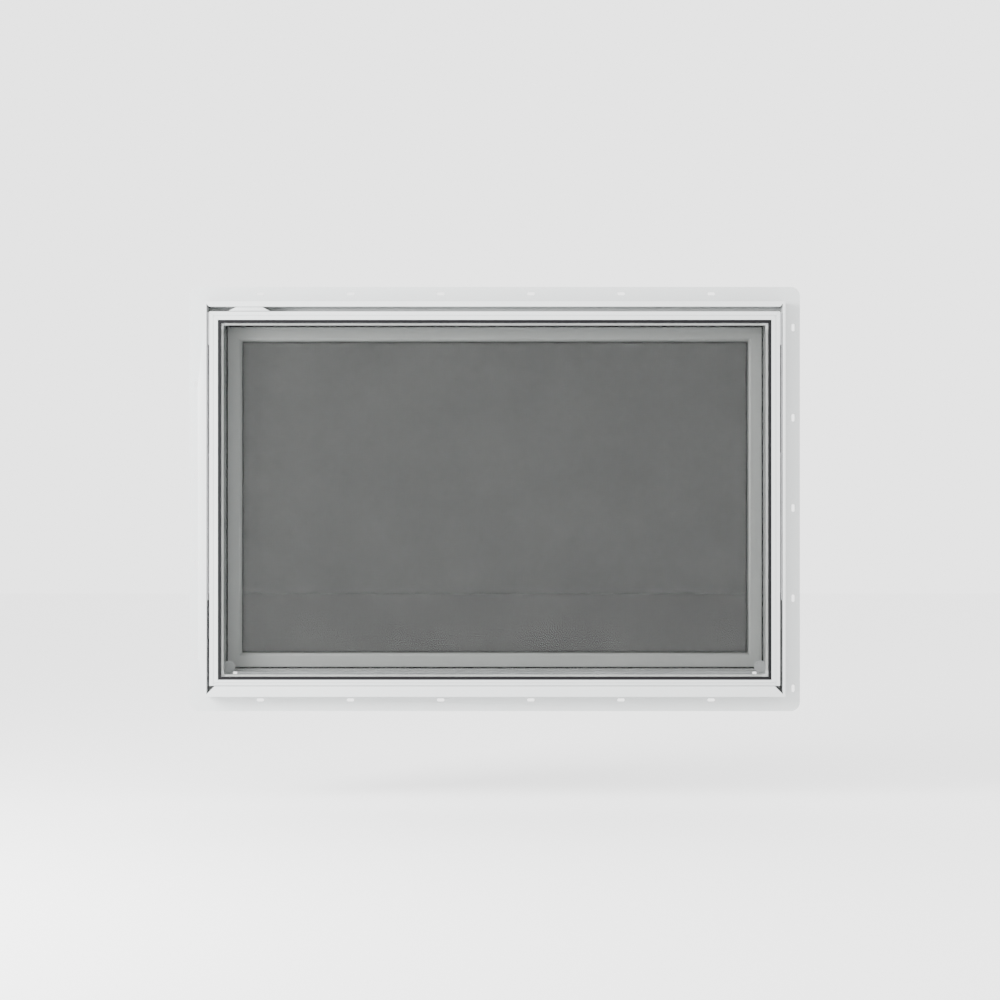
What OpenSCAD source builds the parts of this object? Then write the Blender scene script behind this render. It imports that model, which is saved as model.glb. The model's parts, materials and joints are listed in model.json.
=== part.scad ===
// Crank-out awning window: welded frame with a nailing fin, glazed sash,
// straight-line stay hinges, twin-arm crank operator and an inside insect screen.
// +X to the right, +Y towards the room, +Z up. Origin: middle of the sill underside.

/* [Frame] */
// Width over the frame, without the fin
frame_w = 930; // [760:1:1200]
// Height over the frame, without the fin
frame_h = 632.6; // [520:0.1:800]
// Depth of the frame in front of the hinge datum, to the weather side
front_d = 41; // [40:1:48]
// Depth of the frame behind the datum, to the room side
room_d = 53; // [53:1:70]
// Width of the jambs' nose, seen from outside
nose_t = 4; // [3.5:0.5:9]
// Width of the head's nose, seen from outside
head_nose = 8.4; // [6:0.1:12]
// Height of the sill's nose
sill_nose = 16.8; // [12:0.1:17.5]
// Inward reach of the jambs behind the sash
body_u = 24; // [22:0.5:26]
// Inward reach of the head behind the sash
head_u = 29.5; // [27:0.5:34]
// Wall around the hollow chamber
chamber_wall = 3; // [2:0.5:4]

/* [Nailing fin] */
// How far the fin stands out at the jambs
fin_side = 27; // [22:1:38]
// How far the fin stands out at the head and the sill
fin_end = 25.7; // [24:0.1:38]
// Thickness of the fin
fin_t = 2; // [1.5:0.1:3]
// Set-back of the fin's back face from the weather face
fin_setback = 35; // [30:1:38]
// Radius of the fin's outer corners
fin_r = 15; // [6:1:20]
// Nail slot length
slot_len = 12; // [8:0.5:20]
// Nail slot width
slot_w = 5; // [4:0.5:7]
// Nail slot pitch
slot_pitch = 145.4; // [100:0.1:160]

/* [Sash] */
// Gap between sash and jamb
gap_side = 4.5; // [4.5:0.5:7]
// Gap between sash and head
gap_head = 7.7; // [6:0.1:10]
// Gap between sash and sill nose
gap_sill = 0.6; // [0.5:0.1:2]
// Visible face of the sash members
sash_face = 13.4; // [12.5:0.1:16]
// How much less of the bottom member shows
face_drop = 4; // [2:0.5:5]
// Set-back of the web behind the sash's front flange
sash_step = 2.5; // [2.5:0.1:3]
// Thickness of the sash web
sash_web = 8; // [7:0.5:9]
// Depth of the sash
sash_d = 36; // [34:1:38]
// Clearance from the sash to the frame stop, front to back
stop_gap = 3.5; // [3:0.5:5]

/* [Glazing] */
// Thickness of each glass pane
pane_t = 3; // [2:0.5:4]
// Thickness of the sealed unit
unit_t = 19; // [17:1:20]
// Width of the black glazing gasket that shows
gasket_w = 5; // [3:0.5:7]
// Width of the spacer bar that shows inside the gasket
spacer_w = 3; // [2:0.5:5]

/* [Stay hinges] */
// Length of the stay link between pivots
link_len = 220; // [180:1:240]
// Width of the stay link
link_w = 12; // [10:0.5:14]
// Thickness of the stay link
link_t = 2; // [1.5:0.1:2.5]
// Radius of the link pivot pins
pin_r = 2.5; // [2:0.1:3]
// Running clearance on a pin's radius
pin_clear = 0.06; // [0.03:0.01:0.1]
// Radius of the top roller
roller_r = 4.5; // [4:0.1:5]
// Clearance of the roller in its track, on each side
roller_clear = 0.5; // [0.3:0.1:0.8]

/* [Crank operator] */
// Length of each arm between its pivot and its stud
arm_len = 385; // [300:1:400]
// Width of each arm
arm_w = 9; // [8:0.5:10]
// Thickness of each arm
arm_t = 2.6; // [2:0.1:3]
// Number of teeth on each arm gear
gear_teeth = 36; // [32:4:40]
// Diameter of the stud ball
ball_d = 6; // [5:0.5:6.5]
// Play of the ball in the sash channel, on each side
ball_clear = 2.4; // [2.2:0.1:2.6]
// Crank handle length between spindle and knob
handle_len = 85; // [70:1:100]

/* [Insect screen] */
// Width of the screen bars
bar_w = 34; // [26:1:40]
// Thickness of the screen bars
bar_t = 10; // [8:1:12]
// Height of the screen's lower edge above the sill underside
screen_z = 36.5; // [34:0.5:40]
// Radius of the corner retaining knobs
knob_r = 10.5; // [7:0.5:10.5]

/* [Hidden] */
$fn = 48;
eps = 0.02;
cut = 1;

// Frame outline and the fin around it
frame_x = frame_w / 2;
frame_box = [-frame_x, frame_x, 0, frame_h];
fin_box = [-frame_x - fin_side, frame_x + fin_side, -fin_end, frame_h + fin_end];
fin_back = fin_setback - front_d;
fin_reach = max(fin_side, fin_end);
mitre_in = 90;
slot_edge = 11;
slot_edge_sill = 18;
slot_count = 6;
slot_shift = -14.5;
slot_low_left = 64.7;
slot_low_right = 11;
upstand_z = 20.3;
upstand_t = 3;
ledge_z = 14;
screen_seal_w = 3;
screen_seal_t = 1.8;

// Sash outline and the layers through it
sash_box = [-frame_x + nose_t + gap_side, frame_x - nose_t - gap_side,
            sill_nose + gap_sill, frame_h - head_nose - gap_head];
glaze_box = [sash_box[0], sash_box[1], sash_box[2] - face_drop, sash_box[3]];
web_in = sash_step + sash_web;
sash_back = -2;
sash_front = sash_back - sash_d;
stop_y = sash_back + stop_gap;
seal_t = 1.4;
flange_t = 3.5;
face_groove = 0.8;
unit_front = sash_front + flange_t + 1.5;
unit_back = unit_front + unit_t;
unit_in = web_in + 1.5;
sight_in = sash_face + gasket_w;
bead_gap = 0.2;

// Stay hinges: the pivot line is in the sash's depth, and each link is half the
// distance from its fixed pivot to the roller, so the roller keeps to a straight line
hinge_y = -20;
roller_z = sash_box[3] - 8.5;
link_mid_z = roller_z - link_len;
link_low_z = link_mid_z - link_len;
track_t = 1.2;
track_face = frame_x - nose_t;
link_x = track_face - track_t - 1.2 - link_t;
roller_x = sash_box[1] - sash_step;
roller_len = track_face - track_t - 0.6 - roller_x;
track_low_z = link_low_z - 14;
track_high_z = roller_z + 8;
track_w = 2 * (roller_r + roller_clear + track_t);
lip_low_z = roller_z - 44;

// Operator: gears under the ledge, arms above the upstand, balls in the sash channel
gear_m = 1;
gear_r = gear_m * gear_teeth / 2;
gear_add = 0.8 * gear_m;
gear_ded = 1.1 * gear_m;
gear_backlash = 0.44;
pivot_y = 30;
arm_z = upstand_z + 0.5;
arm_top = arm_z + arm_t;
ball_y = 5;
ball_z = 29.5;
stud_r = 2;
arm_angle = asin((pivot_y - ball_y) / arm_len);
pocket_z = 3;
base_t = 1.4;
gear_z = 6.5;
gear_t = 4;
hub_r = 8;
arm_pin_r = 3;
worm_r = 4.2;
worm_z = 8.8;
worm_gap = 0.3;
worm_x = 2 * gear_r + gear_add + worm_gap + worm_r;
pocket_x0 = -gear_r * 2 - 10;
pocket_x1 = worm_x + worm_r + 7;
pocket_y0 = pivot_y - gear_r - gear_add - 2;
pocket_y1 = room_d - chamber_wall;
spindle_r = 3;
lid_t = 1.5;
hub_y = room_d + 2;
hub_len = 14;
hub_head_r = 8;
lever_y = hub_y + hub_len / 2 + 1;
lever_t = 6;
spindle_end = lever_y - lever_t / 2 - 0.8;
knob_head_r = 8;
knob_len = 24;

// Channel on the sash for the balls
channel_wall = 1.5;
channel_y0 = sash_back;
channel_in0 = ball_y - ball_d / 2 - ball_clear;
channel_in1 = ball_y + ball_d / 2 + ball_clear;
channel_z0 = 25.5;
channel_lip_z = 28.5;
channel_z1 = 37.5;
channel_x = 2 * gear_r / 2 + arm_len + 13;

// Insect screen
screen_gap = 0.5;
screen_y = 14.2;
mesh_t = 0.4;
screen_box = [-frame_x + body_u + screen_gap, frame_x - body_u - screen_gap,
              screen_z, frame_h - head_u - screen_gap];
bar_wall = 1.2;
spline_in = 5;
spline_w = 3;
spline_d = 3;
knob_in = 10;
knob_up = 8;
key_len = 12;

// ---- shared shapes ----

// A prism over an outline in the X-Z plane, from y0 to y1
module slab(y0, y1) {
    translate([0, y1, 0]) rotate([90, 0, 0]) linear_extrude(height = y1 - y0) children();
}

// The mitred quarter of the plane that belongs to one side of a box
module quarter(side, b, grow) {
    t = mitre_in;
    x0 = b[0]; x1 = b[1]; z0 = b[2]; z1 = b[3];
    if (side == "top")
        polygon([[x0 - grow, z1 + grow], [x1 + grow, z1 + grow], [x1 - t, z1 - t],
                 [x0 + t, z1 - t]]);
    if (side == "bottom")
        polygon([[x0 - grow, z0 - grow], [x1 + grow, z0 - grow], [x1 - t, z0 + t],
                 [x0 + t, z0 + t]]);
    if (side == "left")
        polygon([[x0 - grow, z0 - grow], [x0 + t, z0 + t], [x0 + t, z1 - t],
                 [x0 - grow, z1 + grow]]);
    if (side == "right")
        polygon([[x1 + grow, z0 - grow], [x1 - t, z0 + t], [x1 - t, z1 - t],
                 [x1 + grow, z1 + grow]]);
}

// A section drawn as (inward distance, y) run along one side of a box
module run(side, b, grow) {
    long_x = b[1] - b[0] + 2 * grow;
    long_z = b[3] - b[2] + 2 * grow;
    if (side == "top") translate([b[0] - grow, 0, b[3]]) rotate([0, 90, 0])
        linear_extrude(height = long_x) children();
    if (side == "bottom") translate([b[0] - grow, 0, b[2]]) mirror([0, 0, 1])
        rotate([0, 90, 0]) linear_extrude(height = long_x) children();
    if (side == "left") translate([b[0], 0, b[2] - grow])
        linear_extrude(height = long_z) children();
    if (side == "right") translate([b[1], 0, b[2] - grow]) mirror([1, 0, 0])
        linear_extrude(height = long_z) children();
}

// A mitred member: the section along a side, cut at 45 degrees at both ends
module member(side, b, grow = 0) {
    intersection() {
        run(side, b, grow) children();
        slab(-200, 200) quarter(side, b, grow + cut);
    }
}

// A rectangular ring in the X-Z plane, between two insets of a box
module ring(b, in0, in1) {
    difference() {
        translate([b[0] + in0, b[2] + in0])
            square([b[1] - b[0] - 2 * in0, b[3] - b[2] - 2 * in0]);
        translate([b[0] + in1, b[2] + in1])
            square([b[1] - b[0] - 2 * in1, b[3] - b[2] - 2 * in1]);
    }
}

// A filled rectangle inset in a box
module field(b, in0) {
    translate([b[0] + in0, b[2] + in0])
        square([b[1] - b[0] - 2 * in0, b[3] - b[2] - 2 * in0]);
}

// A round-cornered rectangle with true arcs
module round_field(b, r) {
    union() {
        translate([b[0] + r, b[2]]) square([b[1] - b[0] - 2 * r, b[3] - b[2]]);
        translate([b[0], b[2] + r]) square([b[1] - b[0], b[3] - b[2] - 2 * r]);
        for (x = [b[0] + r, b[1] - r], z = [b[2] + r, b[3] - r])
            translate([x, z]) circle(r = r);
    }
}

// A nail slot through the fin, running along X, or along Z when turned
module slot(x, z, turned = false) {
    half = (slot_len - slot_w) / 2;
    translate([x, fin_back + cut, z]) rotate([90, turned ? 90 : 0, 0])
        linear_extrude(height = fin_t + 2 * cut) union() {
            square([2 * half, slot_w], center = true);
            for (s = [-1, 1]) translate([s * half, 0]) circle(d = slot_w);
        }
}

// A round rod along Y
module rod_y(x, z, y0, y1, r) {
    translate([x, y0, z]) rotate([-90, 0, 0]) cylinder(r = r, h = y1 - y0);
}

// A round rod along X
module rod_x(y, z, x0, x1, r) {
    translate([x0, y, z]) rotate([0, 90, 0]) cylinder(r = r, h = x1 - x0);
}

// ---- frame ----

module frame_section(fin, nose, reach) {
    difference() {
        polygon([[0, -front_d], [nose, -front_d], [nose, stop_y], [reach, stop_y],
                 [reach, room_d], [0, room_d], [0, fin_back], [-fin, fin_back],
                 [-fin, fin_back - fin_t], [0, fin_back - fin_t]]);
        translate([chamber_wall, stop_y + chamber_wall])
            square([reach - 2 * chamber_wall, room_d - stop_y - 2 * chamber_wall]);
    }
}

module sill_section(fin) {
    difference() {
        polygon([[0, -front_d], [sill_nose, -front_d], [sill_nose, stop_y],
                 [upstand_z, stop_y], [upstand_z, stop_y + upstand_t],
                 [ledge_z, stop_y + upstand_t], [ledge_z, room_d], [0, room_d],
                 [0, fin_back], [-fin, fin_back], [-fin, fin_back - fin_t],
                 [0, fin_back - fin_t]]);
        translate([chamber_wall, stop_y + chamber_wall])
            square([ledge_z - 2 * chamber_wall, room_d - stop_y - 2 * chamber_wall]);
    }
}

// Keeps a frame member inside the fin's rounded outline
module in_fin() {
    intersection() {
        children();
        slab(-200, 200) round_field(fin_box, fin_r);
    }
}

function slot_x(i) = slot_shift + (i - (slot_count - 1) / 2) * slot_pitch;

module frame_head() {
    color("white") difference() {
        in_fin() member("top", frame_box, fin_reach)
            frame_section(fin_end, head_nose, head_u);
        for (i = [0 : slot_count - 1]) slot(slot_x(i), fin_box[3] - slot_edge);
    }
}

module frame_sill() {
    color("white") difference() {
        in_fin() member("bottom", frame_box, fin_reach) sill_section(fin_end);
        for (i = [0 : slot_count - 1]) slot(slot_x(i), fin_box[2] + slot_edge_sill);
        translate([pocket_x0, pocket_y0, pocket_z])
            cube([pocket_x1 - pocket_x0, pocket_y1 - pocket_y0, ledge_z]);
        rod_y(worm_x, worm_z, pocket_y1 - cut, room_d + cut, spindle_r + 0.5);
    }
}

module frame_jamb(side, low, count, x) {
    color("white") difference() {
        in_fin() member(side, frame_box, fin_reach)
            frame_section(fin_side, nose_t, body_u);
        for (i = [0 : count - 1]) slot(x, low + i * slot_pitch, true);
    }
}

module frame_jamb_left() {
    frame_jamb("left", slot_low_left, 4, fin_box[0] + slot_edge);
}

module frame_jamb_right() {
    frame_jamb("right", slot_low_right, 5, fin_box[1] - slot_edge);
}

// Compression seal on the stop and the sill's upstand, behind the sash
module frame_seal() {
    k = sash_step + 1.5;
    b = [sash_box[0] + k, sash_box[1] - k, upstand_z - 3.3, sash_box[3] - k];
    color("dimgray") slab(stop_y - seal_t, stop_y) ring(b, 0, 3);
}

module head_bumper() {
    x = -393;
    color("white") slab(-front_d + 4, -front_d + 18)
        polygon([[x - 20, frame_h - head_nose], [x + 20, frame_h - head_nose],
                 [x + 33, frame_h - head_nose - gap_head + 0.8],
                 [x - 33, frame_h - head_nose - gap_head + 0.8]]);
}

// ---- sash ----

module sash_section() {
    g = sash_face * 0.45;
    difference() {
        polygon([[0, sash_front], [g, sash_front], [g, sash_front + face_groove],
                 [g + face_groove, sash_front + face_groove],
                 [g + face_groove, sash_front], [sash_face, sash_front],
                 [sash_face, sash_front + flange_t], [web_in, sash_front + flange_t],
                 [web_in, sash_back], [sash_step, sash_back],
                 [sash_step, sash_front + flange_t], [0, sash_front + flange_t]]);
        translate([sash_step + 2, sash_front + 5]) square([sash_web - 4, sash_d - 8]);
    }
}

module sash_low_section() {
    g = face_drop + (sash_face - face_drop) * 0.45;
    polygon([[face_drop, sash_front], [g, sash_front], [g, sash_front + face_groove],
             [g + face_groove, sash_front + face_groove],
             [g + face_groove, sash_front], [sash_face, sash_front],
             [sash_face, sash_front + flange_t], [web_in, sash_front + flange_t],
             [web_in, sash_back], [face_drop, sash_back]]);
}

module sash_member(side) {
    color("white") intersection() {
        member(side, glaze_box) sash_section();
        slab(-200, 200) field(sash_box, 0);
    }
}

module sash_rail_top() { sash_member("top"); }

module sash_rail_bottom() {
    color("white") member("bottom", glaze_box) sash_low_section();
}

module sash_stile_left() {
    difference() {
        sash_member("left");
        for (z = [link_mid_z, roller_z])
            rod_x(hinge_y, z, sash_box[0] - cut, sash_box[0] + sash_step + 2 + eps, pin_r);
    }
}

module sash_stile_right() { mirror([1, 0, 0]) sash_stile_left(); }

module pane_outer() {
    color("lightsteelblue", 0.5) slab(unit_front, unit_front + pane_t)
        field(glaze_box, unit_in);
}

module pane_inner() {
    color("lightsteelblue", 0.5) slab(unit_back - pane_t, unit_back)
        field(glaze_box, unit_in);
}

module spacer_ring() { ring(glaze_box, unit_in + 4, sight_in + spacer_w); }

module spacer_corners() {
    k = unit_in + 4;
    for (x = [glaze_box[0] + k, glaze_box[1] - k - key_len])
        for (z = [glaze_box[2] + k, glaze_box[3] - k - key_len])
            translate([x, z]) square([key_len, key_len]);
}

module spacer_bar() {
    color("silver") slab(unit_front + pane_t, unit_back - pane_t) difference() {
        spacer_ring();
        spacer_corners();
    }
}

module spacer_keys() {
    color("white") slab(unit_front + pane_t, unit_back - pane_t) intersection() {
        spacer_ring();
        spacer_corners();
    }
}

module glazing_gasket() {
    color("black") union() {
        slab(sash_front + flange_t, unit_front) ring(glaze_box, web_in, sight_in);
        slab(sash_front + 1, sash_front + flange_t + eps)
            ring(glaze_box, sash_face, sight_in);
    }
}

module setting_blocks() {
    color("dimgray") for (s = [-1, 1])
        translate([s * frame_w / 4 - 25, unit_front, glaze_box[2] + web_in])
            cube([50, unit_t, unit_in - web_in]);
}

module bead(side) {
    color("white") member(side, glaze_box) difference() {
        polygon([[web_in, unit_back + bead_gap], [sight_in, unit_back + bead_gap],
                 [sight_in, sash_back - 4], [sight_in - 4, sash_back],
                 [web_in, sash_back]]);
        translate([web_in + 2, unit_back + bead_gap + 2])
            square([sight_in - web_in - 5, sash_back - unit_back - 6]);
    }
}

module bead_top() { bead("top"); }
module bead_left() { bead("left"); }
module bead_right() { bead("right"); }
module bead_bottom() { bead("bottom"); }

// ---- stay hinges ----

module hinge_track_right() {
    x = track_face - track_t;
    color("silver") difference() {
        union() {
            translate([x, hinge_y - track_w / 2, track_low_z])
                cube([track_t, track_w, track_high_z - track_low_z]);
            for (s = [-1, 1])
                translate([roller_x + 0.6, hinge_y + s * (track_w - track_t) / 2
                           - track_t / 2, lip_low_z])
                    cube([x - roller_x - 0.6 + eps, track_t, track_high_z - lip_low_z]);
        }
        rod_x(hinge_y, link_low_z, x - cut, track_face + cut, pin_r);
        for (z = [track_low_z + 40, (track_low_z + track_high_z) / 2 + 60])
            rod_x(hinge_y, z, x - cut, track_face + cut, 1.8);
    }
}

module hinge_track_left() { mirror([1, 0, 0]) hinge_track_right(); }

module hinge_track_screws() {
    color("silver") for (s = [0, 1]) mirror([s, 0, 0])
        for (z = [track_low_z + 40, (track_low_z + track_high_z) / 2 + 60])
            rod_x(hinge_y, z, track_face - track_t - 0.4, track_face, 1.8);
}

module stay_link_right() {
    color("silver") difference() {
        union() {
            translate([link_x, hinge_y - link_w / 2, link_low_z])
                cube([link_t, link_w, link_len]);
            for (z = [link_low_z, link_mid_z])
                rod_x(hinge_y, z, link_x, link_x + link_t, link_w / 2);
        }
        for (z = [link_low_z, link_mid_z])
            rod_x(hinge_y, z, link_x - cut, link_x + link_t + cut, pin_r + pin_clear);
    }
}

module stay_link_left() { mirror([1, 0, 0]) stay_link_right(); }

// Fixed pivots on the tracks
module stay_pins() {
    color("gray") for (s = [0, 1]) mirror([s, 0, 0]) union() {
        rod_x(hinge_y, link_low_z, link_x - 0.5, track_face, pin_r);
        rod_x(hinge_y, link_low_z, link_x - 1.1, link_x - 0.4, pin_r + 1.2);
    }
}

// Moving pivots on the sash stiles
module sash_pins() {
    color("gray") for (s = [0, 1]) mirror([s, 0, 0]) union() {
        rod_x(hinge_y, link_mid_z, roller_x - 2, link_x + link_t + 0.5, pin_r);
        rod_x(hinge_y, link_mid_z, link_x + link_t + 0.4, link_x + link_t + 0.9,
              pin_r + 1.2);
    }
}

module sash_rollers() {
    color("white") for (s = [0, 1]) mirror([s, 0, 0]) union() {
        rod_x(hinge_y, roller_z, roller_x - 2, roller_x + 0.6, pin_r);
        rod_x(hinge_y, roller_z, roller_x + 0.6 - eps, roller_x + roller_len, roller_r);
    }
}

// ---- crank operator ----

module sash_channel() {
    x = channel_x;
    color("silver") difference() {
        rotate([90, 0, 90]) translate([0, 0, -x]) linear_extrude(height = 2 * x)
            polygon([[channel_y0, channel_z0], [channel_in0, channel_z0],
                     [channel_in0, channel_z1 - channel_wall],
                     [channel_in1, channel_z1 - channel_wall],
                     [channel_in1, channel_lip_z],
                     [channel_in1 + channel_wall, channel_lip_z],
                     [channel_in1 + channel_wall, channel_z1],
                     [channel_y0, channel_z1]]);
        for (i = [-2 : 2])
            rod_y(i * channel_x * 0.45, channel_z0 + 2.2, channel_y0 - cut,
                  channel_in0 + cut, 1.5);
    }
}

module sash_channel_screws() {
    color("gray") for (i = [-2 : 2])
        rod_y(i * channel_x * 0.45, channel_z0 + 2.2, channel_y0, channel_in0, 1.5);
}

module operator_base() {
    color("dimgray") difference() {
        union() {
            translate([pocket_x0 + 1, pocket_y0 + 1, pocket_z])
                cube([pocket_x1 - pocket_x0 - 2, pocket_y1 - pocket_y0 - 2, base_t]);
            for (x = [pocket_x0 + 1, pocket_x1 - 4])
                translate([x, pocket_y0 + 1, pocket_z])
                    cube([3, pocket_y1 - pocket_y0 - 2, ledge_z - pocket_z]);
            translate([worm_x - 6.5, pocket_y1 - 5, pocket_z])
                cube([13, 4, ledge_z - pocket_z]);
        }
        for (s = [-1, 1]) translate([s * gear_r, pivot_y, pocket_z - cut])
            cylinder(r = arm_pin_r, h = base_t + 2 * cut);
        rod_y(worm_x, worm_z, pocket_y1 - 6, pocket_y1, spindle_r + 0.06);
    }
}

module operator_lid() {
    x0 = pocket_x0 - 9;
    x1 = pocket_x1 + 9;
    color("dimgray") difference() {
        translate([x0, pocket_y0 - 2, ledge_z])
            cube([x1 - x0, pocket_y1 - pocket_y0 + 1, lid_t]);
        for (s = [-1, 1]) translate([s * gear_r, pivot_y, ledge_z - cut])
            cylinder(r = hub_r + 0.5, h = lid_t + 2 * cut);
        for (x = [x0 + 4.5, x1 - 4.5], y = [pocket_y0 + 3, pocket_y1 - 6])
            translate([x, y, ledge_z - cut]) cylinder(r = 2, h = lid_t + 2 * cut);
    }
}

module operator_screws() {
    x0 = pocket_x0 - 9;
    x1 = pocket_x1 + 9;
    color("silver") for (x = [x0 + 4.5, x1 - 4.5], y = [pocket_y0 + 3, pocket_y1 - 6])
        translate([x, y, ledge_z]) difference() {
            union() {
                cylinder(r = 2, h = lid_t);
                translate([0, 0, lid_t]) cylinder(r1 = 3.6, r2 = 2.6, h = 1.4, $fn = 48);
            }
            translate([-0.4, -2, lid_t + 0.8]) cube([0.8, 4, 1]);
            translate([-2, -0.4, lid_t + 0.8]) cube([4, 0.8, 1]);
        }
}

module operator_pins() {
    color("gray") for (s = [-1, 1]) translate([s * gear_r, pivot_y, pocket_z])
        union() {
            cylinder(r = arm_pin_r, h = arm_top + 0.6 - pocket_z);
            translate([0, 0, arm_top + 0.4 - pocket_z]) cylinder(r = 5, h = 1.2);
        }
}

// Spur gear outline with straight flanks; turn shifts it by a share of one tooth
module gear_outline(turn) {
    step = 360 / gear_teeth;
    half = (PI * gear_m / 2 - gear_backlash) / 2;
    top = half - gear_add * tan(20);
    root = half + gear_ded * tan(20);
    union() {
        circle(r = gear_r - gear_ded, $fn = 96);
        for (i = [0 : gear_teeth - 1]) rotate((i + turn) * step)
            polygon([[gear_r - gear_ded - 0.4, -root], [gear_r - gear_ded, -root],
                     [gear_r + gear_add, -top], [gear_r + gear_add, top],
                     [gear_r - gear_ded, root], [gear_r - gear_ded - 0.4, root]]);
    }
}

// The right arm points along +X and slopes towards the sash
module arm(turn) {
    difference() {
        union() {
            translate([0, 0, gear_z]) linear_extrude(height = gear_t) gear_outline(turn);
            translate([0, 0, gear_z]) cylinder(r = hub_r, h = arm_z + eps - gear_z);
            rotate([0, 0, -arm_angle]) {
                translate([0, 0, arm_z]) cylinder(r = hub_r + 1, h = arm_t);
                translate([0, -arm_w / 2, arm_z]) cube([arm_len, arm_w, arm_t]);
                translate([arm_len, 0, arm_z]) cylinder(r = arm_w / 2, h = arm_t);
            }
        }
        translate([0, 0, gear_z - cut])
            cylinder(r = arm_pin_r + pin_clear, h = arm_top - gear_z + 2 * cut);
        rotate([0, 0, -arm_angle]) translate([arm_len, 0, arm_z - cut])
            cylinder(r = stud_r, h = arm_t + 2 * cut);
    }
}

module arm_right() {
    color("lightgray") translate([gear_r, pivot_y, 0]) arm(0);
}

module arm_left() {
    color("lightgray") translate([-gear_r, pivot_y, 0]) mirror([1, 0, 0]) arm(0.5);
}

module arm_stud_right() {
    color("silver") translate([gear_r, pivot_y, 0]) rotate([0, 0, -arm_angle])
        translate([arm_len, 0, 0]) union() {
            translate([0, 0, arm_z]) cylinder(r = stud_r, h = ball_z - arm_z);
            translate([0, 0, ball_z]) sphere(d = ball_d);
        }
}

module arm_stud_left() { mirror([1, 0, 0]) arm_stud_right(); }

// Worm drawn as a grooved barrel just clear of the gear teeth
module worm_spindle() {
    y0 = pivot_y - 10;
    n = 6;
    color("gray") union() {
        rod_y(worm_x, worm_z, y0, spindle_end, spindle_r - 0.02);
        for (i = [0 : n - 1]) translate([worm_x, y0 + 1 + i * PI, worm_z])
            rotate([-90, 0, 0]) rotate_extrude()
                polygon([[0, 0], [spindle_r, 0], [worm_r, 0.8], [worm_r, 1.6],
                         [spindle_r, 2.4], [0, 2.4]]);
    }
}

// Cover over the hubs, open towards the arms
module operator_cover() {
    x0 = pocket_x0 - 14;
    x1 = pocket_x1 + 14;
    y0 = screen_y + bar_t + 2;
    top = arm_top + 4;
    wall = 2;
    color("white") union() {
        translate([x0, y0, top]) cube([x1 - x0, room_d - y0, wall]);
        translate([x0, room_d - wall, ledge_z]) cube([x1 - x0, wall, top - ledge_z + eps]);
        for (x = [x0, x1 - wall])
            translate([x, room_d - 9, ledge_z]) cube([wall, 9, top - ledge_z + eps]);
    }
}

module crank_hub() {
    color("white") difference() {
        rod_y(worm_x, worm_z, hub_y, hub_y + hub_len, hub_head_r);
        rod_y(worm_x, worm_z, hub_y - cut, spindle_end, spindle_r - 0.02);
        translate([worm_x - hub_head_r - cut, lever_y - lever_t / 2 - 0.3,
                   worm_z - lever_t / 2 - 0.3])
            cube([3 * hub_head_r, hub_len, lever_t + 0.6]);
        translate([worm_x, lever_y, worm_z - hub_head_r])
            cylinder(r = 1.5, h = 2 * hub_head_r);
    }
}

module crank_pin() {
    color("silver") translate([worm_x, lever_y, worm_z - hub_head_r + 1.5])
        cylinder(r = 1.5, h = 2 * hub_head_r - 3);
}

module crank_lever() {
    color("white") difference() {
        union() {
            translate([worm_x - handle_len, lever_y - lever_t / 2, worm_z - lever_t / 2])
                cube([handle_len, lever_t, lever_t]);
            translate([worm_x, lever_y, worm_z - lever_t / 2])
                cylinder(r = lever_t / 2, h = lever_t);
            rod_y(worm_x - handle_len, worm_z, lever_y - lever_t / 2,
                  lever_y + lever_t / 2, 6);
            rod_y(worm_x - handle_len, worm_z, lever_y, lever_y + lever_t / 2 + knob_len
                  - 2, 2.5);
        }
        translate([worm_x, lever_y, worm_z - lever_t])
            cylinder(r = 1.5 + pin_clear, h = 2 * lever_t);
    }
}

module crank_knob() {
    y0 = lever_y + lever_t / 2 + 0.5;
    color("white") difference() {
        translate([worm_x - handle_len, y0, worm_z]) rotate([-90, 0, 0]) rotate_extrude()
            polygon([[0, 0], [5.5, 0], [knob_head_r, 6], [knob_head_r, knob_len - 4],
                     [knob_head_r - 3, knob_len], [0, knob_len]]);
        rod_y(worm_x - handle_len, worm_z, y0 - cut, y0 + knob_len - 1.5,
              2.5 + pin_clear);
    }
}

// ---- insect screen ----

module screen_bar(side) {
    color("darkgray") member(side, screen_box) difference() {
        polygon([[0, screen_y], [bar_w - 8, screen_y], [bar_w, screen_y + 4],
                 [bar_w, screen_y + bar_t], [0, screen_y + bar_t]]);
        translate([spline_in, screen_y - cut]) square([spline_w, spline_d + cut]);
        translate([spline_in + spline_w + bar_wall, screen_y + bar_wall])
            square([bar_w - spline_in - spline_w - 9 - bar_wall, bar_t - 2 * bar_wall]);
    }
}

module knob_cut() {
    for (s = [-1, 1]) rod_y(s * (screen_box[1] - knob_in), screen_box[2] + knob_up,
                            screen_y - cut, screen_y + bar_t + cut, knob_r - 3);
}

module screen_bar_top() { screen_bar("top"); }

module screen_bar_bottom() {
    difference() { screen_bar("bottom"); knob_cut(); }
}

module screen_bar_left() {
    difference() { screen_bar("left"); knob_cut(); }
}

module screen_bar_right() {
    difference() { screen_bar("right"); knob_cut(); }
}

// Black strip on the jambs and head, in front of the screen
module screen_gasket() {
    b = [-frame_x + body_u, frame_x - body_u, screen_z, frame_h - head_u];
    y1 = screen_y - mesh_t - 0.2;
    color("black") slab(y1 - screen_seal_t, y1) difference() {
        ring(b, 0, screen_seal_w);
        translate([-frame_x, 0]) square([frame_w, screen_z + 2 * knob_r + 3]);
    }
}

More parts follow.
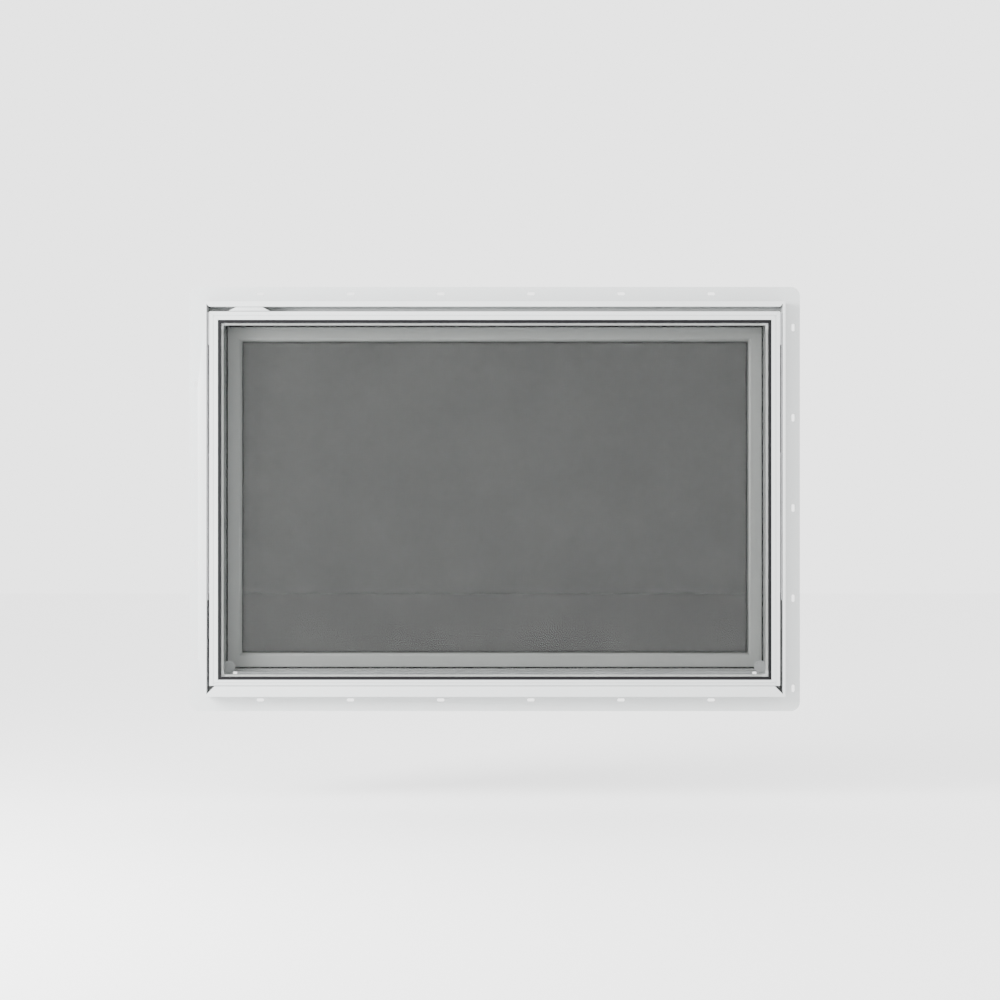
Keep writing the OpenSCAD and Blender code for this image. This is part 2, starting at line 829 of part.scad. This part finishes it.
// Corner keys inside the hollow of the top bars
module screen_corner_keys() {
    k0 = spline_in + spline_w + bar_wall + 0.3;
    k1 = bar_w - 9.5;
    t0 = screen_y + bar_wall + 0.2;
    t1 = screen_y + bar_t - bar_wall - 0.2;
    color("white") for (s = [0, 1]) mirror([s, 0, 0]) slab(t0, t1) union() {
        translate([screen_box[1] - k1, screen_box[3] - k1 - 30]) square([k1 - k0, 30 + k1 - k0]);
        translate([screen_box[1] - k1 - 30, screen_box[3] - k1]) square([30 + k1 - k0, k1 - k0]);
    }
}

module screen_mesh() {
    color("dimgray") difference() {
        slab(screen_y - mesh_t, screen_y) field(screen_box, spline_in - 2);
        for (s = [-1, 1]) rod_y(s * (screen_box[1] - knob_in), screen_box[2] + knob_up,
                                screen_y - mesh_t - cut, screen_y + cut, knob_r - 3);
    }
}

module screen_spline() {
    color("black") difference() {
        slab(screen_y, screen_y + spline_d)
            ring(screen_box, spline_in, spline_in + spline_w);
        knob_cut();
    }
}

module screen_knobs() {
    y1 = screen_y + bar_t + 4;
    color("lightgray") for (s = [-1, 1])
        translate([s * (screen_box[1] - knob_in), 0, screen_box[2] + knob_up]) difference() {
            union() {
                rod_y(0, 0, screen_y - 1.6, screen_y - mesh_t, knob_r - 0.5);
                rod_y(0, 0, screen_y - mesh_t - eps, screen_y + bar_t + eps, knob_r - 3.1);
                rod_y(0, 0, screen_y + bar_t, y1, knob_r - 1.5);
            }
            rod_y(0, 0, screen_y - 1.6 - cut, screen_y - 0.9, knob_r - 3);
        }
}

module screen_rests() {
    color("white") for (s = [-1, 1])
        translate([s * (screen_box[1] - 8) - 8, screen_y, ledge_z])
            cube([16, bar_t, screen_z - ledge_z]);
}

frame_head();
frame_sill();
frame_jamb_left();
frame_jamb_right();
frame_seal();
head_bumper();
sash_rail_top();
sash_rail_bottom();
sash_stile_left();
sash_stile_right();
pane_outer();
pane_inner();
spacer_bar();
spacer_keys();
glazing_gasket();
setting_blocks();
bead_top();
bead_bottom();
bead_left();
bead_right();
hinge_track_left();
hinge_track_right();
hinge_track_screws();
stay_link_left();
stay_link_right();
stay_pins();
sash_pins();
sash_rollers();
sash_channel();
sash_channel_screws();
operator_base();
operator_lid();
operator_pins();
operator_screws();
operator_cover();
arm_left();
arm_right();
arm_stud_left();
arm_stud_right();
worm_spindle();
crank_hub();
crank_pin();
crank_lever();
crank_knob();
screen_bar_top();
screen_bar_bottom();
screen_bar_left();
screen_bar_right();
screen_corner_keys();
screen_mesh();
screen_spline();
screen_gasket();
screen_knobs();
screen_rests();
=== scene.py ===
"""Visual model of a crank-out awning window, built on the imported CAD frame.

Each sub-assembly is a class whose fields are its sizes in metres. Finishes are
small frozen classes that make one procedural material each. What repeats, such
as the threads of the insect mesh, is made by Geometry Nodes.
"""

import json
import logging
import math
from dataclasses import dataclass
from enum import Enum

import bmesh
import bpy
from mathutils import Matrix, Vector


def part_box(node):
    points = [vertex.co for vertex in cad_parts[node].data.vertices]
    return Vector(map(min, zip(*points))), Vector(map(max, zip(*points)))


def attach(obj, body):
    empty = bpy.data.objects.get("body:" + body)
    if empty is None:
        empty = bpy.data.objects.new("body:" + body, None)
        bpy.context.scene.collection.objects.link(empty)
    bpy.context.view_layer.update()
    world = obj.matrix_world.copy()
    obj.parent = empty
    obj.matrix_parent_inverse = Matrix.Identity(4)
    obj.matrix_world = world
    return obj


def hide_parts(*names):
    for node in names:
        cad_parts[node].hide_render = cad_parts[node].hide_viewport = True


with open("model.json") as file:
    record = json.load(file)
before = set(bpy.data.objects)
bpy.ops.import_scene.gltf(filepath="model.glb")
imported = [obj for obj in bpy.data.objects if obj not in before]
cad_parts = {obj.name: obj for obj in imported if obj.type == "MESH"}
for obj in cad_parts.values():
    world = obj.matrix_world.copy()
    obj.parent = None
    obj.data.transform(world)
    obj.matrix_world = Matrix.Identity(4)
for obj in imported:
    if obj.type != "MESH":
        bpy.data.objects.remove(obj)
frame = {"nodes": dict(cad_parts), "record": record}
log = logging.getLogger("window")


class Side(Enum):
    """The direction in which a family of mesh threads runs."""

    ACROSS = "across"
    UP = "up"


# ---------------------------------------------------------------- shader groups


def new_group(
    name: str, inputs: dict[str, tuple[str, object]], outputs: dict[str, str]
) -> bpy.types.NodeTree:
    """Make a shader node group with named sockets.

    Args:
        name: The group's name.
        inputs: Socket name to (socket type, default value).
        outputs: Socket name to socket type.

    Returns:
        The empty group, with its Group Input and Group Output nodes.
    """
    tree = bpy.data.node_groups.new(name, "ShaderNodeTree")
    for key, (kind, value) in inputs.items():
        sock = tree.interface.new_socket(key, in_out="INPUT", socket_type=kind)
        sock.default_value = value
    for key, kind in outputs.items():
        tree.interface.new_socket(key, in_out="OUTPUT", socket_type=kind)
    tree.nodes.new("NodeGroupInput").name = "In"
    tree.nodes.new("NodeGroupOutput").name = "Out"
    return tree


def wear_group() -> bpy.types.NodeTree:
    """Build the shared effect: a colour with faint cloudy variation, and matching roughness and height.

    Returns:
        A group with Color, Roughness and Height outputs.
    """
    tree = new_group(
        "SoftVariation",
        {
            "Color": ("NodeSocketColor", (0.8, 0.8, 0.8, 1.0)),
            "Shade": ("NodeSocketFloat", 0.96),
            "Scale": ("NodeSocketFloat", 9.0),
            "Rough Low": ("NodeSocketFloat", 0.3),
            "Rough High": ("NodeSocketFloat", 0.4),
        },
        {"Color": "NodeSocketColor", "Roughness": "NodeSocketFloat", "Height": "NodeSocketFloat"},
    )
    n, link = tree.nodes, tree.links.new
    coord = n.new("ShaderNodeTexCoord")
    noise = n.new("ShaderNodeTexNoise")
    noise.inputs["Detail"].default_value = 5.0
    link(coord.outputs["Object"], noise.inputs["Vector"])
    link(n["In"].outputs["Scale"], noise.inputs["Scale"])
    mix = n.new("ShaderNodeMix")
    mix.data_type = "RGBA"
    mix.blend_type = "MULTIPLY"
    mix.inputs["Factor"].default_value = 1.0
    span = n.new("ShaderNodeMapRange")
    span.inputs["From Min"].default_value = 0.3
    span.inputs["From Max"].default_value = 0.7
    span.inputs["To Max"].default_value = 1.0
    link(noise.outputs["Fac"], span.inputs["Value"])
    link(n["In"].outputs["Shade"], span.inputs["To Min"])
    link(n["In"].outputs["Color"], mix.inputs["A"])
    link(span.outputs["Result"], mix.inputs["B"])
    rough = n.new("ShaderNodeMapRange")
    rough.inputs["From Min"].default_value = 0.3
    rough.inputs["From Max"].default_value = 0.7
    link(noise.outputs["Fac"], rough.inputs["Value"])
    link(n["In"].outputs["Rough Low"], rough.inputs["To Min"])
    link(n["In"].outputs["Rough High"], rough.inputs["To Max"])
    fine = n.new("ShaderNodeTexNoise")
    fine.inputs["Scale"].default_value = 900.0
    fine.inputs["Detail"].default_value = 2.0
    link(coord.outputs["Object"], fine.inputs["Vector"])
    link(mix.outputs["Result"], n["Out"].inputs["Color"])
    link(rough.outputs["Result"], n["Out"].inputs["Roughness"])
    link(fine.outputs["Fac"], n["Out"].inputs["Height"])
    return tree


def weave_group() -> bpy.types.NodeTree:
    """Build the shared effect of a fine woven surface: two crossed sets of waves.

    Returns:
        A group with Color and Height outputs.
    """
    tree = new_group(
        "FineWeave",
        {
            "Light": ("NodeSocketColor", (0.5, 0.5, 0.5, 1.0)),
            "Dark": ("NodeSocketColor", (0.2, 0.2, 0.2, 1.0)),
            "Pitch": ("NodeSocketFloat", 0.0015),
        },
        {"Color": "NodeSocketColor", "Height": "NodeSocketFloat"},
    )
    n, link = tree.nodes, tree.links.new
    coord = n.new("ShaderNodeTexCoord")
    split = n.new("ShaderNodeSeparateXYZ")
    link(coord.outputs["Object"], split.inputs["Vector"])
    waves = []
    for axis in ("X", "Z"):
        turns = n.new("ShaderNodeMath")
        turns.operation = "DIVIDE"
        link(split.outputs[axis], turns.inputs[0])
        link(n["In"].outputs["Pitch"], turns.inputs[1])
        angle = n.new("ShaderNodeMath")
        angle.operation = "MULTIPLY"
        angle.inputs[1].default_value = 2.0 * math.pi
        link(turns.outputs[0], angle.inputs[0])
        sine = n.new("ShaderNodeMath")
        sine.operation = "SINE"
        link(angle.outputs[0], sine.inputs[0])
        waves.append(sine)
    top = n.new("ShaderNodeMath")
    top.operation = "MAXIMUM"
    link(waves[0].outputs[0], top.inputs[0])
    link(waves[1].outputs[0], top.inputs[1])
    span = n.new("ShaderNodeMapRange")
    span.inputs["From Min"].default_value = -0.2
    span.inputs["From Max"].default_value = 1.0
    link(top.outputs[0], span.inputs["Value"])
    mix = n.new("ShaderNodeMix")
    mix.data_type = "RGBA"
    link(span.outputs["Result"], mix.inputs["Factor"])
    link(n["In"].outputs["Light"], mix.inputs["A"])
    link(n["In"].outputs["Dark"], mix.inputs["B"])
    link(mix.outputs["Result"], n["Out"].inputs["Color"])
    link(span.outputs["Result"], n["Out"].inputs["Height"])
    return tree


# --------------------------------------------------------------------- finishes


@dataclass(frozen=True)
class Finish:
    """One surface finish, made into a material when first asked for."""

    name: str
    slot: str
    color: tuple[float, float, float]
    rough: float = 0.35
    metallic: float = 0.0
    shade: float = 0.96
    bump: float = 0.00002
    coat: float = 0.0
    alpha: float = 1.0
    specular: float = 0.5

    def material(self) -> bpy.types.Material:
        """Return the material, and build it the first time.

        Returns:
            The procedural material.
        """
        found = bpy.data.materials.get(self.name)
        if found is not None:
            return found
        mat = bpy.data.materials.new(self.name)
        mat.use_nodes = True
        shader = mat.node_tree.nodes["Principled BSDF"]
        shader.inputs["Metallic"].default_value = self.metallic
        shader.inputs["Coat Weight"].default_value = self.coat
        shader.inputs["Specular IOR Level"].default_value = self.specular
        self.paint(mat, shader)
        return mat

    def paint(self, mat: bpy.types.Material, shader: bpy.types.Node) -> None:
        """Connect the colour, roughness and surface grain.

        Args:
            mat: The material being made.
            shader: Its Principled shader.
        """
        n, link = mat.node_tree.nodes, mat.node_tree.links.new
        group = n.new("ShaderNodeGroup")
        group.node_tree = bpy.data.node_groups.get("SoftVariation") or wear_group()
        group.inputs["Color"].default_value = (*self.color, 1.0)
        group.inputs["Shade"].default_value = self.shade
        group.inputs["Rough Low"].default_value = max(0.05, self.rough - 0.05)
        group.inputs["Rough High"].default_value = self.rough + 0.05
        bump = n.new("ShaderNodeBump")
        bump.inputs["Distance"].default_value = self.bump
        bump.inputs["Strength"].default_value = 0.5
        link(group.outputs["Color"], shader.inputs["Base Color"])
        link(group.outputs["Roughness"], shader.inputs["Roughness"])
        link(group.outputs["Height"], bump.inputs["Height"])
        link(bump.outputs["Normal"], shader.inputs["Normal"])


@dataclass(frozen=True)
class Glazing(Finish):
    """Clear float glass: nearly invisible, with a faint tint and reflection."""

    def paint(self, mat: bpy.types.Material, shader: bpy.types.Node) -> None:
        """Set a thin, see-through surface.

        Args:
            mat: The material being made.
            shader: Its Principled shader.
        """
        shader.inputs["Base Color"].default_value = (*self.color, 1.0)
        shader.inputs["Roughness"].default_value = self.rough
        shader.inputs["Alpha"].default_value = self.alpha


@dataclass(frozen=True)
class Woven(Finish):
    """A painted bar seen through the fine mesh drawn over it."""

    dark: tuple[float, float, float] = (0.1, 0.1, 0.1)
    pitch: float = 0.0015

    def paint(self, mat: bpy.types.Material, shader: bpy.types.Node) -> None:
        """Connect the weave's colour and relief.

        Args:
            mat: The material being made.
            shader: Its Principled shader.
        """
        n, link = mat.node_tree.nodes, mat.node_tree.links.new
        group = n.new("ShaderNodeGroup")
        group.node_tree = bpy.data.node_groups.get("FineWeave") or weave_group()
        group.inputs["Light"].default_value = (*self.color, 1.0)
        group.inputs["Dark"].default_value = (*self.dark, 1.0)
        group.inputs["Pitch"].default_value = self.pitch
        bump = n.new("ShaderNodeBump")
        bump.inputs["Distance"].default_value = 0.0001
        bump.inputs["Strength"].default_value = 0.5
        link(group.outputs["Color"], shader.inputs["Base Color"])
        link(group.outputs["Height"], bump.inputs["Height"])
        link(bump.outputs["Normal"], shader.inputs["Normal"])
        shader.inputs["Roughness"].default_value = self.rough


VINYL = Finish("WhiteVinyl", "white_vinyl", (0.50, 0.515, 0.515), rough=0.34, shade=0.97, coat=0.1)
GLASS = Glazing("ClearGlass", "glass", (0.025, 0.028, 0.027), rough=0.04, alpha=0.07)
STEEL = Finish("BrushedSteel", "steel", (0.56, 0.57, 0.58), rough=0.32, metallic=1.0, shade=0.85)
GEAR = Finish("GearSteel", "gear_steel", (0.36, 0.37, 0.39), rough=0.38, metallic=1.0, shade=0.8)
SPACER = Finish("SpacerMetal", "spacer_metal", (0.42, 0.43, 0.42), rough=0.42, metallic=0.6, shade=0.9)
BLACK = Finish(
    "BlackRubber", "black_rubber", (0.004, 0.004, 0.005), rough=0.6, shade=0.8, bump=0.0001, specular=0.15
)
DARK = Finish("DarkRubber", "dark_rubber", (0.06, 0.06, 0.06), rough=0.65, shade=0.8, bump=0.0001)
CAST = Finish("CastGrey", "cast_grey", (0.20, 0.21, 0.22), rough=0.45, shade=0.85, bump=0.0001)
PAINT = Finish("WhitePaint", "white_paint", (0.80, 0.82, 0.81), rough=0.28, coat=0.4)
BAR = Woven("ScreenBar", "screen_grey", (0.26, 0.27, 0.26), rough=0.5, dark=(0.10, 0.105, 0.10))
THREAD = Finish("MeshThread", "mesh_grey", (0.0235, 0.0235, 0.0225), rough=0.7, shade=0.6, specular=0.12)
KNOB = Finish("KnobGrey", "knob_grey", (0.30, 0.31, 0.31), rough=0.35, shade=0.9)
FINISHES = {
    finish.slot: finish
    for finish in (VINYL, GLASS, STEEL, GEAR, SPACER, BLACK, DARK, CAST, PAINT, BAR, THREAD, KNOB)
}

# How far apart loose corners of a CAD mesh may be and still be one corner, in metres
WELD_GAP = 0.00002
# Faces that turn by less than this are one flat face
FLAT_ANGLE = math.radians(0.5)
# Edges that turn by more than this are rounded
ROUND_ANGLE = math.radians(35.0)
# Edges that turn by more than this stay crisp in the shading
CRISP_ANGLE = math.radians(20.0)


# ---------------------------------------------------------------------- helpers


def settle(
    obj: bpy.types.Object, body: str, nodes: tuple[str, ...] = ()
) -> bpy.types.Object:
    """Hand a finished piece to the frame.

    Args:
        obj: The piece, in place in the row frame.
        body: The CAD body that it moves with.
        nodes: The CAD nodes that it stands for.

    Returns:
        The same piece.
    """
    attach(obj, body)
    if nodes:
        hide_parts(*nodes)
    log.info("%s on %s: %d faces", obj.name, body, len(obj.data.polygons))
    return obj


def body_holding(node: str) -> str:
    """Find the CAD body of a node.

    Args:
        node: The node's name.

    Returns:
        The body's name.
    """
    for body, members in frame["record"]["behaviour"]["bodies"].items():
        if node in members:
            return body
    raise KeyError(node)


def slot_of(node: str) -> str:
    """Find the record's material slot of a node.

    Args:
        node: The node's name.

    Returns:
        The slot's name.
    """
    for part in frame["record"]["subparts"]:
        if part["node"] == node:
            return part["material_slot"]
    raise KeyError(node)


def softened(node: str, width: float, segments: int = 2) -> bpy.types.Object:
    """Copy a CAD node and round its edges, as extruded plastic and bent metal have them.

    Args:
        node: The CAD node to stand for.
        width: The bevel's width in metres.
        segments: The bevel's segments.

    Returns:
        The finished piece, which replaces the node.
    """
    source = frame["nodes"][node]
    mesh = source.data.copy()
    obj = bpy.data.objects.new("v_" + node, mesh)
    bpy.context.scene.collection.objects.link(obj)
    weld = obj.modifiers.new("Weld", "WELD")
    weld.merge_threshold = WELD_GAP
    flat = obj.modifiers.new("Flat", "DECIMATE")
    flat.decimate_type = "DISSOLVE"
    flat.angle_limit = FLAT_ANGLE
    bevel = obj.modifiers.new("Bevel", "BEVEL")
    bevel.width = width
    bevel.segments = segments
    bevel.limit_method = "ANGLE"
    bevel.angle_limit = ROUND_ANGLE
    bevel.use_clamp_overlap = True
    final = bpy.data.meshes.new_from_object(obj.evaluated_get(bpy.context.evaluated_depsgraph_get()))
    obj.modifiers.clear()
    obj.data = final
    finish = FINISHES[slot_of(node)]
    obj.data.materials.clear()
    obj.data.materials.append(finish.material())
    for poly in obj.data.polygons:
        poly.material_index = 0
        poly.use_smooth = True
    obj.data.set_sharp_from_angle(angle=CRISP_ANGLE)
    return settle(obj, body_holding(node), (node,))


# --------------------------------------------------------------- sub-assemblies


@dataclass
class Extrusions:
    """The white frame and sash members, with softened edges."""

    edge: float = 0.0006
    nodes: tuple[str, ...] = (
        "frame_head", "frame_sill", "frame_jamb_left", "frame_jamb_right", "head_bumper",
        "sash_rail_top", "sash_rail_bottom", "sash_stile_left", "sash_stile_right",
        "bead_top", "bead_bottom", "bead_left", "bead_right", "operator_cover", "screen_rests",
    )

    def build(self) -> list[bpy.types.Object]:
        """Make every member.

        Returns:
            The pieces.
        """
        return [softened(n, self.edge) for n in self.nodes]


@dataclass
class Hardware:
    """Metal and rubber pieces whose edges catch the light."""

    edge: float = 0.0003
    nodes: tuple[str, ...] = (
        "stay_link_left", "stay_link_right", "hinge_track_left", "hinge_track_right",
        "sash_channel", "arm_left", "arm_right", "operator_lid", "operator_base",
        "crank_hub", "crank_lever", "crank_knob", "screen_knobs",
        "screen_bar_top", "screen_bar_bottom", "screen_bar_left", "screen_bar_right",
    )

    def build(self) -> list[bpy.types.Object]:
        """Make every piece.

        Returns:
            The pieces.
        """
        return [softened(n, self.edge) for n in self.nodes]


@dataclass
class InsectMesh:
    """The screen's mesh as real crossed threads, laid out by Geometry Nodes."""

    pitch: float = 0.0015
    width: float = 0.00125
    thick: float = 0.00018
    seed: int = 7
    lap: float = 0.003
    wander: float = 0.00005
    node: str = "screen_mesh"
    name: str = "v_screen_mesh"

    def tree(self) -> bpy.types.NodeTree:
        """Build the node tree that repeats one thread over a field.

        Returns:
            A tree with Length, Width, Thick, Count, Pitch, Wander, Seed and Material inputs.
        """
        tree = bpy.data.node_groups.new("ThreadField", "GeometryNodeTree")
        face = tree.interface
        for key, kind in (
            ("Length", "NodeSocketFloat"), ("Width", "NodeSocketFloat"), ("Thick", "NodeSocketFloat"),
            ("Count", "NodeSocketInt"), ("Pitch", "NodeSocketFloat"), ("Wander", "NodeSocketFloat"),
            ("Seed", "NodeSocketInt"), ("Material", "NodeSocketMaterial"),
        ):
            face.new_socket(key, in_out="INPUT", socket_type=kind)
        face.new_socket("Geometry", in_out="OUTPUT", socket_type="NodeSocketGeometry")
        n, link = tree.nodes, tree.links.new
        given = n.new("NodeGroupInput")
        out = n.new("NodeGroupOutput")
        size = n.new("ShaderNodeCombineXYZ")
        link(given.outputs["Length"], size.inputs["X"])
        link(given.outputs["Thick"], size.inputs["Y"])
        link(given.outputs["Width"], size.inputs["Z"])
        thread = n.new("GeometryNodeMeshCube")
        link(size.outputs["Vector"], thread.inputs["Size"])
        step = n.new("ShaderNodeCombineXYZ")
        link(given.outputs["Pitch"], step.inputs["Z"])
        row = n.new("GeometryNodeMeshLine")
        row.mode = "OFFSET"
        link(given.outputs["Count"], row.inputs["Count"])
        link(step.outputs["Vector"], row.inputs["Offset"])
        low = n.new("ShaderNodeMath")
        low.operation = "MULTIPLY"
        low.inputs[1].default_value = -1.0
        link(given.outputs["Wander"], low.inputs[0])
        chance = n.new("FunctionNodeRandomValue")
        chance.data_type = "FLOAT"
        link(low.outputs[0], chance.inputs[2])
        link(given.outputs["Wander"], chance.inputs[3])
        link(given.outputs["Seed"], chance.inputs["Seed"])
        shift = n.new("ShaderNodeCombineXYZ")
        link(chance.outputs[1], shift.inputs["Z"])
        moved = n.new("GeometryNodeSetPosition")
        link(row.outputs["Mesh"], moved.inputs["Geometry"])
        link(shift.outputs["Vector"], moved.inputs["Offset"])
        copies = n.new("GeometryNodeInstanceOnPoints")
        link(moved.outputs["Geometry"], copies.inputs["Points"])
        link(thread.outputs["Mesh"], copies.inputs["Instance"])
        real = n.new("GeometryNodeRealizeInstances")
        link(copies.outputs["Instances"], real.inputs["Geometry"])
        paint = n.new("GeometryNodeSetMaterial")
        link(real.outputs["Geometry"], paint.inputs["Geometry"])
        link(given.outputs["Material"], paint.inputs["Material"])
        link(paint.outputs["Geometry"], out.inputs["Geometry"])
        return tree

    def field_of(self, tree: bpy.types.NodeTree, side: Side, low: Vector, high: Vector) -> bpy.types.Mesh:
        """Lay one direction of threads over the mesh's rectangle.

        Args:
            tree: The shared thread tree.
            side: The direction that the threads run in.
            low: The rectangle's lowest corner.
            high: Its highest corner.

        Returns:
            The threads as a mesh, in place.
        """
        wide, tall = high.x - low.x, high.z - low.z
        along, over = (wide, tall) if side is Side.ACROSS else (tall, wide)
        margin = self.width / 2 + self.wander
        count = int((over - 2 * margin) / self.pitch) + 1
        obj = bpy.data.objects.new("threads", bpy.data.meshes.new("threads"))
        bpy.context.scene.collection.objects.link(obj)
        mod = obj.modifiers.new("Threads", "NODES")
        values = {
            "Length": along, "Width": self.width, "Thick": self.thick, "Count": count,
            "Pitch": self.pitch, "Wander": self.wander, "Seed": self.seed, "Material": THREAD.material(),
        }
        mod.node_group = tree
        for item in tree.interface.items_tree:
            if item.item_type == "SOCKET" and item.in_out == "INPUT":
                mod[item.identifier] = values[item.name]
        mesh = bpy.data.meshes.new_from_object(obj.evaluated_get(bpy.context.evaluated_depsgraph_get()))
        bpy.data.objects.remove(obj)
        start = -(count - 1) * self.pitch / 2
        mesh.transform(Matrix.Translation((0, 0, start)))
        middle = Vector(((low.x + high.x) / 2, 0, (low.z + high.z) / 2))
        if side is Side.UP:
            mesh.transform(Matrix.Rotation(math.radians(90), 4, "Y"))
        depth = low.y + self.thick / 2 if side is Side.UP else high.y - self.thick / 2
        mesh.transform(Matrix.Translation(Vector((middle.x, depth, middle.z))))
        return mesh

    def build(self) -> bpy.types.Object:
        """Make the mesh from its two directions of threads.

        Returns:
            The finished piece, which replaces the CAD sheet.
        """
        low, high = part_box(self.node)
        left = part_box("screen_bar_left")[1].x - self.lap
        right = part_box("screen_bar_right")[0].x + self.lap
        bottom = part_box("screen_bar_bottom")[1].z - self.lap
        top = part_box("screen_bar_top")[0].z + self.lap
        low, high = Vector((left, low.y, bottom)), Vector((right, high.y, top))
        tree = self.tree()
        joined = bmesh.new()
        for side in Side:
            joined.from_mesh(self.field_of(tree, side, low, high))
        mesh = bpy.data.meshes.new(self.name)
        joined.to_mesh(mesh)
        joined.free()
        mesh.materials.append(THREAD.material())
        obj = bpy.data.objects.new(self.name, mesh)
        bpy.context.scene.collection.objects.link(obj)
        return settle(obj, body_holding(self.node), (self.node,))


@dataclass
class CadFinishes:
    """Procedural finishes for the CAD nodes that are shown as they are."""

    def build(self) -> int:
        """Put a finish in each remaining node's material slots.

        Returns:
            The number of nodes painted.
        """
        done = 0
        for name, obj in frame["nodes"].items():
            mat = FINISHES[slot_of(name)].material()
            if not obj.material_slots:
                obj.data.materials.append(mat)
            for place in obj.material_slots:
                place.material = mat
            done += 1
        return done


@dataclass
class Studio:
    """Pale floor, soft light and a camera straight on to the outside."""

    distance: float = 4.0
    aim: tuple[float, float, float] = (0.0085, -0.007, 0.3147)
    lens: float = 89.3
    sensor: float = 36.0
    floor_gap: float = 0.15
    floor_reach: float = 9.0
    key: float = 170.0
    key_at: tuple[float, float, float] = (-1.9, -1.5, 0.9)
    key_size: float = 1.0
    fill_share: float = 0.1
    fill_at: tuple[float, float, float] = (2.4, -3.0, 1.2)
    fill_size: float = 2.5
    world: float = 3.0

    def area(
        self,
        name: str,
        at: tuple[float, float, float],
        size: float,
        power: float,
        color: tuple[float, float, float],
    ) -> None:
        """Add one soft lamp aimed at the window.

        Args:
            name: The lamp's name.
            at: Its place.
            size: Its side in metres.
            power: Its power in watts.
            color: Its colour.
        """
        data = bpy.data.lights.new(name, "AREA")
        data.size = size
        data.energy = power
        data.color = color
        lamp = bpy.data.objects.new(name, data)
        lamp.location = at
        lamp.rotation_euler = (Vector(self.aim) - Vector(at)).to_track_quat("-Z", "Y").to_euler()
        bpy.context.scene.collection.objects.link(lamp)

    def build(self) -> None:
        """Make the floor, the lamps, the world and the camera."""
        floor = bpy.data.meshes.new("floor")
        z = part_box("frame_sill")[0].z - self.floor_gap
        reach = self.floor_reach
        corners = [(-reach, -reach, z), (reach, -reach, z), (reach, reach, z), (-reach, reach, z)]
        floor.from_pydata(corners, [], [(0, 1, 2, 3)])
        pale = bpy.data.materials.new("PaleFloor")
        pale.use_nodes = True
        shader = pale.node_tree.nodes["Principled BSDF"]
        shader.inputs["Base Color"].default_value = (0.93, 0.93, 0.93, 1.0)
        shader.inputs["Roughness"].default_value = 0.9
        floor.materials.append(pale)
        ground = bpy.data.objects.new("floor", floor)
        bpy.context.scene.collection.objects.link(ground)
        scene = bpy.context.scene
        scene.world = bpy.data.worlds.new("Studio")
        scene.world.use_nodes = True
        back = scene.world.node_tree.nodes["Background"]
        back.inputs["Color"].default_value = (1.0, 1.0, 1.0, 1.0)
        back.inputs["Strength"].default_value = self.world
        self.area("Key", self.key_at, self.key_size, self.key, (1.0, 1.0, 1.0))
        self.area("Fill", self.fill_at, self.fill_size, self.key * self.fill_share, (1.0, 0.99, 0.97))
        cam = bpy.data.cameras.new("Camera")
        cam.lens = self.lens
        cam.sensor_width = self.sensor
        cam.dof.use_dof = False
        eye = bpy.data.objects.new("Camera", cam)
        eye.location = (self.aim[0], self.aim[1] - self.distance, self.aim[2])
        eye.rotation_euler = (math.radians(90), 0.0, 0.0)
        scene.collection.objects.link(eye)
        scene.camera = eye


def main() -> None:
    """Build every sub-assembly, in order, and report each one."""
    logging.basicConfig(level=logging.INFO, format="%(name)s: %(message)s")
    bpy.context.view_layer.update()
    log.info("painted %d CAD nodes", CadFinishes().build())
    Extrusions().build()
    Hardware().build()
    InsectMesh().build()
    Studio().build()


if __name__ == "__main__":
    main()
